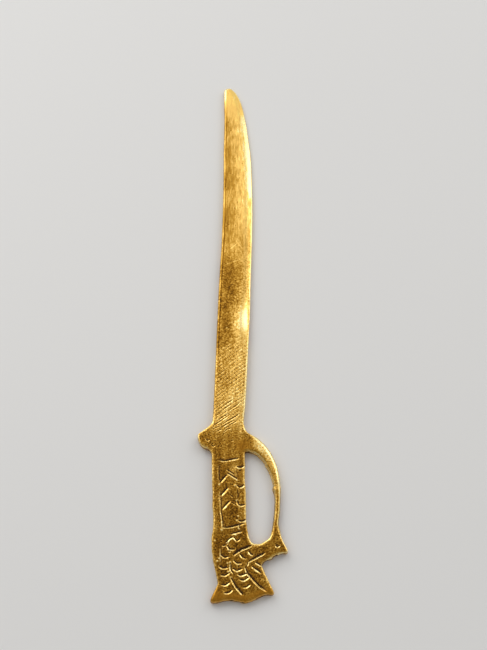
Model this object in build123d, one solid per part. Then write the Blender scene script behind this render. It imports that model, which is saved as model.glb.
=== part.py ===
from build123d import *
import math
import os

# A sabre-shaped letter opener, cast in one piece in brass and divided here into its five named regions.
# It is drawn from the middle of the blade's root: X runs across it, towards the cutting edge and the
# knuckle bow, Y runs along it, towards the point, and Z rises from the flat back to the engraved face.
# Lengths are in millimetres. A reach is measured sideways from the drawing's axis, a drop down from the
# root line or from the point, and a rise up from the pommel's base.

# Casting
hilt_thickness = 3.0  # flat back to engraved face, over the whole hilt
point_thickness = 1.8  # the same at the blade's point
face_round = 0.55  # radius along the edges of the engraved face
back_bevel = 0.3  # filed off along the edges of the flat back

# Blade
blade_length = 144.0  # root line to point
root_width = 10.5
root_offset = 0.15  # of the root's middle, towards the spine
spine_lean = 2.5  # sideways, from the root to the point
spine_hollow = 0.9  # depth of the spine's long curve
point_radius = 2.0
point_slope = 40.0  # degrees, where the cutting edge leaves the rounded point
shoulder_reach = 4.9
shoulder_drop = 11.0  # below the point
flank_reach = 7.4
flank_drop = 25.3  # below the point
belly_reach = 8.5  # where the cutting edge stands furthest out
belly_drop = 52.0  # below the point

# Ground bevel along the cutting edge
bevel_width = 2.0
bevel_depth = 0.8
bevel_start = 16.0  # root line to where the bevel runs out
bevel_lead = 0.9  # how much narrower it is at the forte than at the point

# Guard, with the quillon lobe on the spine's side
quillon_reach = 10.6  # end of the lobe
quillon_drop = 5.8
quillon_chin_setback = 0.5  # chin, behind and below the lobe's end
quillon_chin_fall = 2.2
quillon_neck_setback = 2.9  # where the lobe leaves the guard, behind its end
quillon_neck_lift = 2.45  # upper side of that neck, above the lobe's end
quillon_neck_height = 6.9
quillon_fall = 37.0  # degrees, slope of the lobe's upper side
quillon_lift = 17.0  # degrees, slope of its lower side
guard_foot_drop = 13.4  # where the guard's lower curve meets the grip

# Finger gap
gap_top = 11.2  # root line to the top of the gap
gap_length = 31.7
gap_width = 9.8
gap_belly_drop = 17.0  # top of the gap to its widest place
gap_heel_width = 3.4  # curve at the foot of the grip's inner side
gap_heel_height = 10.0
gap_toe_setback = 1.0  # where the bow's inner side starts to turn in towards the grip
gap_toe_rise = 5.0
gap_corner = 0.7  # radius under the guard

# Grip
grip_inner_reach = 5.6
grip_outer_reach = 5.65  # on the spine's side, under the guard
grip_waist_reach = 4.95
grip_waist_rise = 26.0
nape_reach = 5.3
nape_rise = 17.3

# Knuckle bow
bow_crown_reach = 3.0  # middle of the outer curve
bow_crown_drop = 4.3  # root line to the top of the outer curve
bow_spring_reach = 7.2  # where the outer curve leaves the guard
bow_belly_width = 2.05
bow_belly_lift = 3.9  # outer side's widest place above the inner side's
bow_waist_offset = 1.25  # outer side of the waist beyond the gap's widest place
bow_waist_rise = 22.8
bow_flare = 27.0  # degrees off the length, where the bow runs into the snout

# Pommel, a beast's head seen from the side, with its places along X taken from the gap's widest place
pommel_length = 17.9  # bottom of the gap to the base
snout_overhang = 4.7
snout_rise = 15.2
lip_setback = 0.4
lip_rise = 14.7
mouth_setback = 4.6
mouth_rise = 11.6
jaw_overhang = 0.3
jaw_rise = 1.3
chin_rise = 2.4  # hollow under the jaw
hock_reach = 3.1  # corner above the heel, on the spine's side
hock_rise = 5.8
hock_slope = 11.0  # degrees off the length, where the nape meets the hock
heel_reach = 5.8  # point on the spine's side
heel_rise = 0.2
chin_setback = 3.1  # behind the jaw
keel_setback = 9.6  # lowest place of the base, behind the jaw
arch_setback = 15.0  # hollow between the keel and the heel's foot, behind the jaw
arch_rise = 0.7
foot_setback = 2.7  # lowest place beside the heel
spur_nose = 0.2  # radius left at the heel, the jaw and the snout inside the face's rounded edge
crook_round = 0.5  # corner radius of the hock and the mouth

# Divisions between the regions
guard_division = 0.5  # below the gap's corner
neck_division = 5.4  # above the bottom of the gap
bow_division_slope = 60.0  # degrees, the cut between the guard and the bow

# Places worked out from these sizes
gap_reach = grip_inner_reach + gap_width
gap_belly = -gap_top - gap_belly_drop
gap_bottom = -gap_top - gap_length
base = gap_bottom - pommel_length
overhang = blade_length  # how far a cutter or a dividing region reaches past the casting
spur_round = face_round + spur_nose
root_left = (-root_width / 2 - root_offset, 0)
root_right = (root_width / 2 - root_offset, 0)
spine_top = (root_left[0] + spine_lean, blade_length - point_radius)
shoulder = (shoulder_reach, blade_length - shoulder_drop)
flank = (flank_reach, blade_length - flank_drop)
belly = (belly_reach, blade_length - belly_drop)
snout = (gap_reach + snout_overhang, base + snout_rise)
mouth = (gap_reach - mouth_setback, base + mouth_rise)
jaw = (gap_reach + jaw_overhang, base + jaw_rise)
heel = (-heel_reach, base + heel_rise)
hock = (-hock_reach, base + hock_rise)


def heading(degrees):
    """Unit vector in the plan, turned from the edge's side towards the point."""
    return Vector(1, 0).rotate(Axis.Z, degrees)


UP, DOWN, EDGEWARDS = heading(90), heading(-90), heading(0)


def spine_side():
    """The long hollow curve up the spine and the rounded point."""
    sweep = SagittaArc(root_left, spine_top, -spine_hollow)
    spine = Spline(root_left, sweep @ 0.5, spine_top, tangents=(sweep % 0, sweep % 1))
    nose_end = Vector(spine_top) + (EDGEWARDS + heading(90 - point_slope)) * point_radius
    return [spine, TangentArc(spine @ 1, nose_end, tangent=spine % 1)]


def upper_edge(nose_end):
    """The cutting edge from the rounded point down to the belly."""
    return Spline(nose_end, shoulder, flank, belly, tangents=(heading(-point_slope), DOWN))


def lower_edge():
    """The cutting edge from the belly down to the root, in one long arc."""
    return TangentArc(belly, root_right, tangent=DOWN)


def blade_solid():
    """The blade: its outline, thinned towards the point, with rounded edges and the ground bevel."""
    spine, nose = spine_side()
    lower = lower_edge()
    outline = make_face([spine, nose, upper_edge(nose @ 1), lower, Line(lower @ 1, spine @ 0)])
    thinning = hilt_thickness - point_thickness
    face = Plane((0, 0, hilt_thickness), x_dir=(1, 0, 0), z_dir=(0, thinning, blade_length))
    blank = split(extrude(outline, hilt_thickness), bisect_by=face, keep=Keep.BOTTOM)
    return finish_edges(blank) - bevel_cutter(face)


def bevel_cutter(face):
    """The wedge that the grinding takes off, in a ruled loft between two lines beside the cutting edge."""
    allowance = bevel_depth / 4
    slope = bevel_width / bevel_depth
    upper = face.offset(allowance) * bevel_outline(-slope * (bevel_depth + allowance))
    lower = face.offset(-bevel_depth - allowance) * bevel_outline(slope * allowance)
    return loft([upper, lower], ruled=True)


def bevel_outline(shift):
    """Region outside a line that runs along the cutting edge, shifted sideways.

    The line stands off the edge by the bevel's width where the bevel runs out, and comes to it at the point.
    """
    lower = lower_edge()
    outside = EDGEWARDS * (bevel_width + face_round / 2)
    stations = [
        lower @ 1 + outside,
        lower @ (1 - bevel_start / belly[1]) + outside,
        lower @ 0.5 + EDGEWARDS * bevel_lead,
        Vector(belly),
        Vector(flank),
        Vector(shoulder),
        Vector(spine_top) + EDGEWARDS * (2 * point_radius) + UP * point_radius,
        Vector(spine_top) + UP * (3 * point_radius),
    ]
    line = Spline(*[station + EDGEWARDS * shift for station in stations])
    corners = [(overhang, (line @ 1).Y), (overhang, (line @ 0).Y)]
    return make_face([line, Polyline(line @ 1, *corners, line @ 0)])


def bow_outer_side():
    """The outer curve of the guard and the bow, from the blade's root to the snout."""
    belly_width = gap_reach + bow_belly_width - bow_crown_reach
    belly_height = -bow_crown_drop - (gap_belly + bow_belly_lift)
    spring_angle = math.degrees(math.acos((bow_spring_reach - bow_crown_reach) / belly_width))
    middle = (bow_crown_reach, gap_belly + bow_belly_lift)
    crown = EllipticalCenterArc(middle, belly_width, belly_height, 0, arc_size=spring_angle)
    throat = Spline(root_right, crown @ 1, tangents=(lower_edge() % 1, -(crown % 1)))
    waist = (gap_reach + bow_waist_offset, base + bow_waist_rise)
    flare = Spline(crown @ 0, waist, snout, tangents=(DOWN, heading(bow_flare - 90)))
    return [throat, crown, flare]


def pommel_side():
    """The beast's head, from the snout round the mouth, jaw, base and heel to the hock."""
    lip = (gap_reach - lip_setback, base + lip_rise)
    chin = (jaw[0] - chin_setback, base + chin_rise)
    keel = (jaw[0] - keel_setback, base)
    arch = (jaw[0] - arch_setback, base + arch_rise)
    foot = (heel[0] + foot_setback, base)
    return [
        Spline(snout, lip, mouth),
        Line(mouth, jaw),
        Spline(jaw, chin, keel, arch, foot, heel),
        Line(heel, hock),
    ]


def grip_outer_side():
    """The spine's side of the hilt, from the hock up the grip and round the quillon lobe to the root."""
    nape = (-nape_reach, base + nape_rise)
    waist = (-grip_waist_reach, base + grip_waist_rise)
    foot = (-grip_outer_reach, -guard_foot_drop)
    end = Vector(-quillon_reach, -quillon_drop)
    chin = end + EDGEWARDS * quillon_chin_setback + DOWN * quillon_chin_fall
    neck_high = end + EDGEWARDS * quillon_neck_setback + UP * quillon_neck_lift
    neck_low = neck_high + DOWN * quillon_neck_height
    outwards, inwards = heading(180 - quillon_lift), heading(quillon_fall)
    return [
        Spline(hock, nape, waist, foot, tangents=(heading(90 + hock_slope), UP)),
        Spline(foot, neck_low, tangents=(UP, outwards)),
        Spline(neck_low, chin, end, neck_high, tangents=(outwards, inwards)),
        Spline(neck_high, root_left, tangents=(inwards, spine_side()[0] % 0)),
    ]


def finger_gap():
    """The opening between the grip and the bow, anticlockwise from its widest place."""
    crown_reach = grip_inner_reach + gap_corner
    crown = EllipticalCenterArc((crown_reach, gap_belly), gap_reach - crown_reach, gap_belly_drop)
    corner = CenterArc((crown_reach, -gap_top - gap_corner), gap_corner, 90, 90)
    heel_middle = (grip_inner_reach + gap_heel_width, gap_bottom + gap_heel_height)
    heel = EllipticalCenterArc(heel_middle, gap_heel_width, gap_heel_height, 180)
    toe = (gap_reach - gap_toe_setback, gap_bottom + gap_toe_rise)
    inner_side = TangentArc(crown @ 0, toe, tangent=DOWN)
    foot = Spline(heel @ 1, toe, tangents=(EDGEWARDS, -(inner_side % 1)))
    return make_face([crown, corner, Line(corner @ 1, heel @ 0), heel, foot, inner_side])


def hilt_solid():
    """Guard, grip, bow and pommel as they are cast: one flat plate with rounded edges and the finger gap."""
    root = Line(root_left, root_right)
    outline = make_face([root, *bow_outer_side(), *pommel_side(), *grip_outer_side()])
    outline = round_corners(outline)
    return finish_edges(extrude(outline - finger_gap(), hilt_thickness))


def round_corners(outline):
    """Rounds the pommel's three points and its two inner corners, seen from above."""
    for corners, radius in (((snout, jaw, heel), spur_round), ((mouth, hock), crook_round)):
        for corner in corners:
            nearest = outline.vertices().sort_by_distance(Vector(corner))[0]
            outline = fillet(nearest, radius)
    return outline


def finish_edges(plate):
    """Rounds the edges of a plate's face and bevels those of its back, apart from the cut at the root line."""
    face = plate.faces().sort_by(Axis.Z)[-1]
    plate = fillet([edge for edge in face.edges() if abs(edge.center().Y) > face_round], face_round)
    back = plate.faces().sort_by(Axis.Z)[0]
    return chamfer([edge for edge in back.edges() if abs(edge.center().Y) > face_round], back_bevel)


def region(*corners):
    """A prism through the whole thickness, over a plan with these corners."""
    return extrude(make_face(Polyline(*corners, close=True)), hilt_thickness)


def divide(hilt):
    """The hilt's four regions, cut along straight lines that meet inside the finger gap."""
    guard_line = -gap_top - gap_corner - guard_division
    neck_line = gap_bottom + neck_division
    meeting = grip_inner_reach + gap_corner + guard_division
    fork = Vector(meeting, guard_line)
    slant = fork + heading(bow_division_slope) * overhang
    left, right = -overhang, overhang
    plans = {
        "guard": [(left, guard_line), fork, slant, (left, slant.Y)],
        "grip": [(left, neck_line), (meeting, neck_line), fork, (left, guard_line)],
        "knuckle_bow": [(meeting, neck_line), (right, neck_line), (right, slant.Y), slant, fork],
        "pommel": [(left, -overhang), (right, -overhang), (right, neck_line), (left, neck_line)],
    }
    return {name: hilt & region(*corners) for name, corners in plans.items()}


regions = {"blade": blade_solid(), **divide(hilt_solid())}
casting = Compound(list(regions.values())).bounding_box()
resting_place = Location((-casting.center().X, -casting.center().Y, -casting.min.Z))

os.makedirs("parts", exist_ok=True)
for name, solid in regions.items():
    export_step(resting_place * solid, f"parts/{name}.step")
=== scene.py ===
import logging
import math
from collections.abc import Iterable
from dataclasses import dataclass, field
from enum import Enum

import bmesh
import bpy
import numpy as np
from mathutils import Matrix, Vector, kdtree, noise


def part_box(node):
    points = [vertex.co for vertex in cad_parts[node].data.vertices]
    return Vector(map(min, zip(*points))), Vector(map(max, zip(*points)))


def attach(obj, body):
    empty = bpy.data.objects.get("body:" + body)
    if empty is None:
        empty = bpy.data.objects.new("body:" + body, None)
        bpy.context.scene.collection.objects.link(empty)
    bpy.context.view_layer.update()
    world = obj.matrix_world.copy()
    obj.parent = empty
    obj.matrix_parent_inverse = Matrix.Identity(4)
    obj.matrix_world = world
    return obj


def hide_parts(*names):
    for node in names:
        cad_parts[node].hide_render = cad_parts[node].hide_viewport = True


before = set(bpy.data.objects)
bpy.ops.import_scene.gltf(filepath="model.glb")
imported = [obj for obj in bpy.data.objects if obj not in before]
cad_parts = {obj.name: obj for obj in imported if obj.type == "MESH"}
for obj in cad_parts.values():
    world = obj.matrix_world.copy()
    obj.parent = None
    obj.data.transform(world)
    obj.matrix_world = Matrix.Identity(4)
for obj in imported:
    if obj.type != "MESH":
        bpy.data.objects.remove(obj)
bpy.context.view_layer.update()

# A cast brass letter opener in the shape of a sabre. The five regions of the CAD model are one casting, so
# its skin is made and worked as a whole and then divided where the CAD model is. Lengths are in
# millimetres. X runs across the opener towards its cutting edge, Y along it towards its point, and Z up
# from its flat back.

LOG = logging.getLogger("letter_opener")
MM = 0.001
THICKNESS = 3.0     # of the hilt and of the blade's root
DOT_LENGTH = 0.02   # of a cut that is only a dot
SAME_PLACE = 1e-6   # metres within which two corners are one
HILT = (-40.0, -48.0)           # where the blade's finish ends, and where the hilt's is complete
# The steep wall of an engraved line gets painted shade and its gentle wall a painted highlight.
RUN = np.array((1.0, -0.3))     # direction in which an engraved line has its steep wall on its left

Point = tuple[float, float]
Colour = tuple[float, float, float, float]
Plane = tuple[Vector, Vector]
Pit = tuple[float, float, float, float]
Grain = tuple[float, float, float]


def ease(low: float, high: float, values: np.ndarray) -> np.ndarray:
    """Smooth step from 0 at low to 1 at high; low may be the larger."""
    share = np.clip((values - low) / (high - low), 0.0, 1.0)
    return share * share * (3.0 - 2.0 * share)


def bell(middle: float, width: float, values: np.ndarray) -> np.ndarray:
    """Soft bump of 1 at the middle that fades over its width on both sides."""
    return np.exp(-(((values - middle) / width) ** 2))


class Taper(Enum):
    """How a cut runs out along its length."""

    BOTH = "both ends run out"
    NONE = "full depth throughout"

    def fullness(self, share: np.ndarray) -> np.ndarray:
        """Part of the full depth that is left at each share of the length.

        Args:
            share: places along the cut, from 0 at its start to 1 at its end.

        Returns:
            Values from 0 to 1.
        """
        if self is Taper.NONE:
            return np.ones_like(share)
        return np.sqrt(np.clip(1.0 - np.abs(2.0 * share - 1.0) ** 5, 0.0, 1.0))


@dataclass(frozen=True)
class Cut:
    """One line engraved into the face.

    Attributes:
        points: places that it passes through.
        width: across the open groove.
        depth: of the groove where it is full.
        taper: how it runs out.
        lean: how far the bottom lies towards the steep upper wall, as a share of half the width.
        half_width: of the groove to each side of its line, as a share of the width, without its burr.
        end_width: of a run-out end, as a share of the full width.
        dark_depth: from which the dark bottom and the painted highlight on the gentle wall are full.
    """

    points: tuple[Point, ...]
    width: float = 0.85
    depth: float = 0.22
    taper: Taper = Taper.BOTH
    lean: float = 0.35
    half_width: float = 0.45
    end_width: float = 0.35
    dark_depth: float = 0.15

    def path(self, steps: int = 8) -> np.ndarray:
        """Smooth line through the points.

        Args:
            steps: short straight lengths between two neighbouring points.

        Returns:
            Places along the line, one row each.
        """
        knots = [np.array(point) for point in self.points]
        if len(knots) == 1:
            return np.array([knots[0], knots[0] + (DOT_LENGTH, 0.0)])
        knots = [2 * knots[0] - knots[1], *knots, 2 * knots[-1] - knots[-2]]
        shares = np.linspace(0.0, 1.0, steps, endpoint=False)[:, None]
        runs = []
        for before, start, end, after in zip(knots, knots[1:], knots[2:], knots[3:]):
            pull = (end - before) * shares
            bend = (2 * before - 5 * start + 4 * end - after) * shares ** 2
            twist = (3 * start - before - 3 * end + after) * shares ** 3
            runs.append(start + (pull + bend + twist) / 2)
        return np.vstack([*runs, knots[-2]])

    @staticmethod
    def measure(path: np.ndarray, spots: np.ndarray) -> tuple[np.ndarray, np.ndarray]:
        """Measures places against the line.

        Args:
            path: places along the line.
            spots: the places to measure, in plan.

        Returns:
            Each one's distance from the line, above 0 on the side of the steep wall, and the share of the
            line's length that lies before the nearest place on it.
        """
        gaps = np.full(len(spots), np.inf)
        share, side = np.zeros(len(spots)), np.zeros(len(spots))
        lengths = np.linalg.norm(np.diff(path, axis=0), axis=1)
        runs = np.concatenate([[0.0], np.cumsum(lengths)])
        for start, end, run, length in zip(path, path[1:], runs, lengths):
            leg = (end - start) / length
            upper = np.array((-leg[1], leg[0])) * (1.0 if leg @ RUN > 0.0 else -1.0)
            along = np.clip((spots - start) @ leg, 0.0, length)
            off = spots - start - along[:, None] * leg
            gap = np.linalg.norm(off, axis=1)
            closer = gap < gaps
            gaps[closer] = gap[closer]
            side[closer] = (off @ upper)[closer]
            share[closer] = (run + along[closer]) / runs[-1]
        return np.copysign(gaps, side), share


@dataclass(frozen=True)
class Nudge:
    """A small move of one place of the outline.

    Attributes:
        centre: the place, in plan.
        radii: how far the move reaches across and along.
        move: across and along.
    """

    centre: Point
    radii: Point
    move: Point


class Skin:
    """The casting's surface as arrays, with the marks that its finish reads.

    Attributes:
        MARKS: names of the marks, each of which has one value for every vertex.
        FACE_TILT: upward part of a normal where a slope starts to count as face, and where it is all face.
        SEEN_TILT: upward part of a normal from which a place is measured in plan.
        WALL_TILT: upward or downward part of a normal up to which a place is a wall.
        WALL_FOOT: height of the walls above the back, past its chamfer.
        HOLLOW_DEPTH: how far below its neighbours a vertex in a hollow lies.
        BURR: place and width of the burr beside a groove, as shares of half the groove's width.
        BOTTOM: the same for its dark bottom, measured from its lean: what is left in the cut, with painted
            shade towards the steep wall.
        FLANK: the same for the painted highlight on its gentle wall.
    """

    MARKS = ("groove", "bright", "edge", "hollow", "line", "patina", "polish_and_sheen", "amber", "smooth")
    FACE_TILT = (0.35, 0.8)
    SEEN_TILT = 0.05
    WALL_TILT = 0.3
    WALL_FOOT = 0.5
    HOLLOW_DEPTH = 0.016
    BURR = (1.2, 0.3)
    BOTTOM = (0.5, 0.5)
    FLANK = (-0.3, 0.5)

    def __init__(self, mesh: bpy.types.Mesh) -> None:
        """Takes over the places and normals of a mesh.

        Args:
            mesh: closed and finely divided, in metres.
        """
        self.mesh = mesh
        self.count = len(mesh.vertices)
        flat = np.empty(self.count * 3, np.float32)
        mesh.vertices.foreach_get("co", flat)
        self.places = flat.reshape(-1, 3).astype(float) / MM
        mesh.vertex_normals.foreach_get("vector", flat)
        self.normals = flat.reshape(-1, 3).astype(float)
        self.marks = {name: np.zeros(self.count) for name in self.MARKS}
        self.upward = ease(*self.FACE_TILT, self.normals[:, 2])

    @property
    def x(self) -> np.ndarray:
        """Places across the opener."""
        return self.places[:, 0]

    @property
    def y(self) -> np.ndarray:
        """Places along the opener."""
        return self.places[:, 1]

    @property
    def z(self) -> np.ndarray:
        """Heights above the flat back."""
        return self.places[:, 2]

    def distance_from(self, chosen: np.ndarray, reach: float) -> np.ndarray:
        """Distance in plan of each place of the face from the nearest chosen vertex.

        Args:
            chosen: True for the vertices to measure from.
            reach: the longest distance that matters, which is given to all places beyond it.

        Returns:
            One distance for each vertex; places that face sideways or down get the reach.
        """
        tree = kdtree.KDTree(int(chosen.sum()))
        for number, (across, along, _) in enumerate(self.places[chosen]):
            tree.insert((across, along, 0.0), number)
        tree.balance()
        result = np.full(self.count, reach)
        for number in np.flatnonzero(self.normals[:, 2] > self.SEEN_TILT):
            across, along, _ = self.places[number]
            result[number] = min(reach, tree.find((across, along, 0.0))[2])
        return result

    def walls(self) -> np.ndarray:
        """True for the vertices of the upright sides."""
        return (np.abs(self.normals[:, 2]) < self.WALL_TILT) & (self.z > self.WALL_FOOT)

    def grain(self, size: float, seed: float) -> np.ndarray:
        """Smooth noise over the surface.

        Args:
            size: of its bumps.
            seed: shifts it to another part of the noise.

        Returns:
            One value from about -1 to 1 for each vertex.
        """
        spots = (self.places / size + (seed, seed * 1.7, seed * 2.3)).tolist()
        return np.fromiter((noise.noise(spot) for spot in spots), float, self.count)

    def spot(self, centre: Point, radii: Point) -> np.ndarray:
        """Soft oval weight over the plan, 1 at its centre."""
        across, along = (self.x - centre[0]) / radii[0], (self.y - centre[1]) / radii[1]
        return np.exp(-(across ** 2) - along ** 2)

    def mark(self, name: str, values: np.ndarray) -> None:
        """Strengthens a mark to these values where they are higher."""
        self.marks[name] = np.maximum(self.marks[name], values)

    def shift(self, across: np.ndarray, along: np.ndarray | float = 0.0) -> None:
        """Moves each vertex in plan by its own distances."""
        self.places[:, 0] += across
        self.places[:, 1] += along

    def raise_by(self, heights: np.ndarray) -> None:
        """Moves each vertex out along its normal by its height."""
        self.places += self.normals * heights[:, None]

    def lower_by(self, depths: np.ndarray) -> None:
        """Lowers the face, and with it the sides in proportion, by a depth at each vertex."""
        self.places[:, 2] *= 1.0 - depths / THICKNESS

    def round_over(self, gaps: np.ndarray, run: float, drop: float,
                   weight: np.ndarray | float = 1.0) -> np.ndarray:
        """Rounds the face over beside an edge.

        Args:
            gaps: distance of each vertex from the edge.
            run: how far from the edge the rounding starts.
            drop: how far the edge comes down.
            weight: keeps the rounding to one part of the face.

        Returns:
            How far each vertex lies into the rounding, from 0 where it starts to 1 at the edge.
        """
        share = np.clip(1.0 - gaps / run, 0.0, 1.0)
        self.lower_by(weight * drop * (1.0 - np.sqrt(1.0 - share ** 2)))
        return share

    def engrave(self, cut: Cut, burr: float = 0.06, gleam: float = 1.0) -> None:
        """Cuts a groove with a small burr beside it.

        Args:
            cut: the line and its size.
            burr: height of the burr as a share of the depth.
            gleam: strength of the painted highlight on its gentle wall.
        """
        path = cut.path()
        low, high = path.min(axis=0) - cut.width, path.max(axis=0) + cut.width
        plan = self.places[:, :2]
        near = ((plan > low) & (plan < high)).all(axis=1) & (self.upward > 0.0)
        offsets, share = cut.measure(path, plan[near])
        full = cut.taper.fullness(share)
        half = cut.width * cut.half_width * (cut.end_width + (1.0 - cut.end_width) * full)
        across = offsets / half
        gentle = (1.0 + across) / (1.0 + cut.lean)
        steep = (1.0 - across) / (1.0 - cut.lean)
        valley = np.clip(np.minimum(gentle, steep), 0.0, 1.0)
        ridge = bell(*self.BURR, np.abs(across)) * burr
        self.places[near, 2] -= cut.depth * full * (valley - ridge) * self.upward[near]
        # Paints the cut: a dark bottom of grime and painted shade towards the steep wall, and a painted
        # highlight on the gentle wall.
        full *= min(1.0, cut.depth / cut.dark_depth)
        bottom = full * bell(*self.BOTTOM, across - cut.lean)
        self.marks["groove"][near] = np.maximum(self.marks["groove"][near], bottom)
        flank = gleam * full * bell(*self.FLANK, across)
        self.marks["bright"][near] = np.maximum(self.marks["bright"][near], flank)

    def pit(self, centres: Iterable[Pit]) -> None:
        """Presses small round pits into the face.

        Args:
            centres: x, y, radius and depth of each pit.
        """
        order = np.argsort(self.y)
        along = self.y[order]
        for across, up, radius, depth in centres:
            first, last = np.searchsorted(along, (up - radius, up + radius))
            spots = order[first:last]
            gaps = np.hypot(self.x[spots] - across, self.y[spots] - up) / radius
            bowl = np.clip(1.0 - gaps ** 2, 0.0, 1.0) ** 2 * self.upward[spots]
            self.places[spots, 2] -= depth * bowl

    def settle(self) -> None:
        """Writes the worked places and the marks back to the mesh."""
        self.places[:, 2] = np.maximum(self.places[:, 2], 0.0)
        self.mesh.vertices.foreach_set("co", (self.places * MM).astype(np.float32).ravel())
        self.mesh.update()
        self.marks["hollow"] = self.hollows() * (1.0 - self.marks["smooth"])
        for name, values in self.marks.items():
            mark = self.mesh.attributes.new(name, "FLOAT", "POINT")
            mark.data.foreach_set("value", values.astype(np.float32))

    def hollows(self) -> np.ndarray:
        """Finds the hollows and ridges of the worked skin.

        Returns:
            How far each vertex lies below its neighbours, from -1 on ridges to 1 in hollows.
        """
        ends = np.empty(len(self.mesh.edges) * 2, np.int32)
        self.mesh.edges.foreach_get("vertices", ends)
        first, second = ends.reshape(-1, 2).T
        numbers = np.bincount(ends, minlength=self.count)[:, None]
        depth = self.places
        for _ in range(2):
            total = np.zeros((self.count, 3))
            for axis in range(3):
                total[:, axis] += np.bincount(first, depth[second, axis], self.count)
                total[:, axis] += np.bincount(second, depth[first, axis], self.count)
            depth = total / numbers
        lift = ((depth - self.places) * self.normals).sum(axis=1)
        return np.tanh(lift / self.HOLLOW_DEPTH)


@dataclass
class Region:
    """One named region of the casting.

    Attributes:
        node: the CAD node that it stands for.
        nudges: small moves that bring its outline closer to the real one.
        cuts: the lines engraved into it.
        burrs: where the graver left a small burr, which carries a painted highlight.
        burr_reach: how far a burr spreads.
        burr_height: how high it stands.
        burr_gleam: strength of that painted highlight.
    """

    node: str = ""
    nudges: tuple[Nudge, ...] = ()
    cuts: tuple[Cut, ...] = ()
    burrs: tuple[Point, ...] = ()
    burr_reach: float = 0.36
    burr_height: float = 0.06
    burr_gleam: float = 0.75

    def bounds(self) -> list[Plane]:
        """Planes that cut the region out of the casting, each with its normal out of the region."""
        raise NotImplementedError

    def true_up(self, skin: Skin) -> None:
        """Brings the region's outline closer to the real one, by about half a millimetre at most.

        Args:
            skin: the casting's surface.
        """
        for nudge in self.nudges:
            weight = skin.spot(nudge.centre, nudge.radii)
            skin.shift(nudge.move[0] * weight, nudge.move[1] * weight)

    def sculpt(self, skin: Skin) -> None:
        """Works the region's own details into the casting's skin."""
        raise NotImplementedError

    def engrave(self, skin: Skin, gleam: float = 1.0) -> None:
        """Cuts the region's engraved lines and leaves their burrs.

        Args:
            skin: the casting's surface.
            gleam: strength of the painted highlight on the gentle wall of each line.
        """
        for cut in self.cuts:
            skin.engrave(cut, gleam=gleam)
        for place in self.burrs:
            burr = skin.spot(place, (self.burr_reach, self.burr_reach))
            skin.raise_by(self.burr_height * burr)
            # The burr's brightness is a painted highlight.
            skin.mark("bright", self.burr_gleam * burr)

    def dress(self, piece: bpy.types.Object, finish: bpy.types.Material) -> None:
        """Gives the finished piece its material and its place in the model.

        Args:
            piece: the region's object.
            finish: its material.
        """
        piece.data.materials.append(finish)
        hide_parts(self.node)
        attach(piece, "root")
        LOG.info("%s: %d faces", piece.name, len(piece.data.polygons))


@dataclass(frozen=True)
class Divisions:
    """The planes between the regions, taken from the CAD model.

    Attributes:
        bow_slope: angle of the cut between the guard and the bow, in degrees.
    """

    bow_slope: float = 60.0

    @property
    def root(self) -> Plane:
        """Between the blade and the guard; its normal points to the hilt."""
        return Vector((0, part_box("blade")[0][1], 0)), Vector((0, -1, 0))

    @property
    def guard(self) -> Plane:
        """Between the guard and the grip."""
        return Vector((0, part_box("grip")[1][1], 0)), Vector((0, -1, 0))

    @property
    def neck(self) -> Plane:
        """Above the pommel."""
        return Vector((0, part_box("pommel")[1][1], 0)), Vector((0, -1, 0))

    @property
    def bow(self) -> Plane:
        """Between the guard and the bow.

        Returns:
            The plane, through the bow's inmost corner; its normal points to the bow.
        """
        corners = (vertex.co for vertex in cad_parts["knuckle_bow"].data.vertices)
        corner = min(corners, key=lambda place: place.x)
        slope = math.radians(self.bow_slope)
        return corner.copy(), Vector((math.sin(slope), -math.cos(slope), 0))

    @property
    def gap(self) -> Plane:
        """Through the open finger gap; its normal points to the bow."""
        across = (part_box("grip")[1][0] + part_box("knuckle_bow")[0][0]) / 2
        return Vector((across, 0, 0)), Vector((1, 0, 0))

    def all(self) -> list[Plane]:
        """Every plane where two regions touch."""
        return [self.root, self.guard, self.neck, self.bow]


def flipped(plane: Plane) -> Plane:
    """The same plane with its normal the other way."""
    return plane[0], -plane[1]


DIVISIONS = Divisions()


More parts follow.
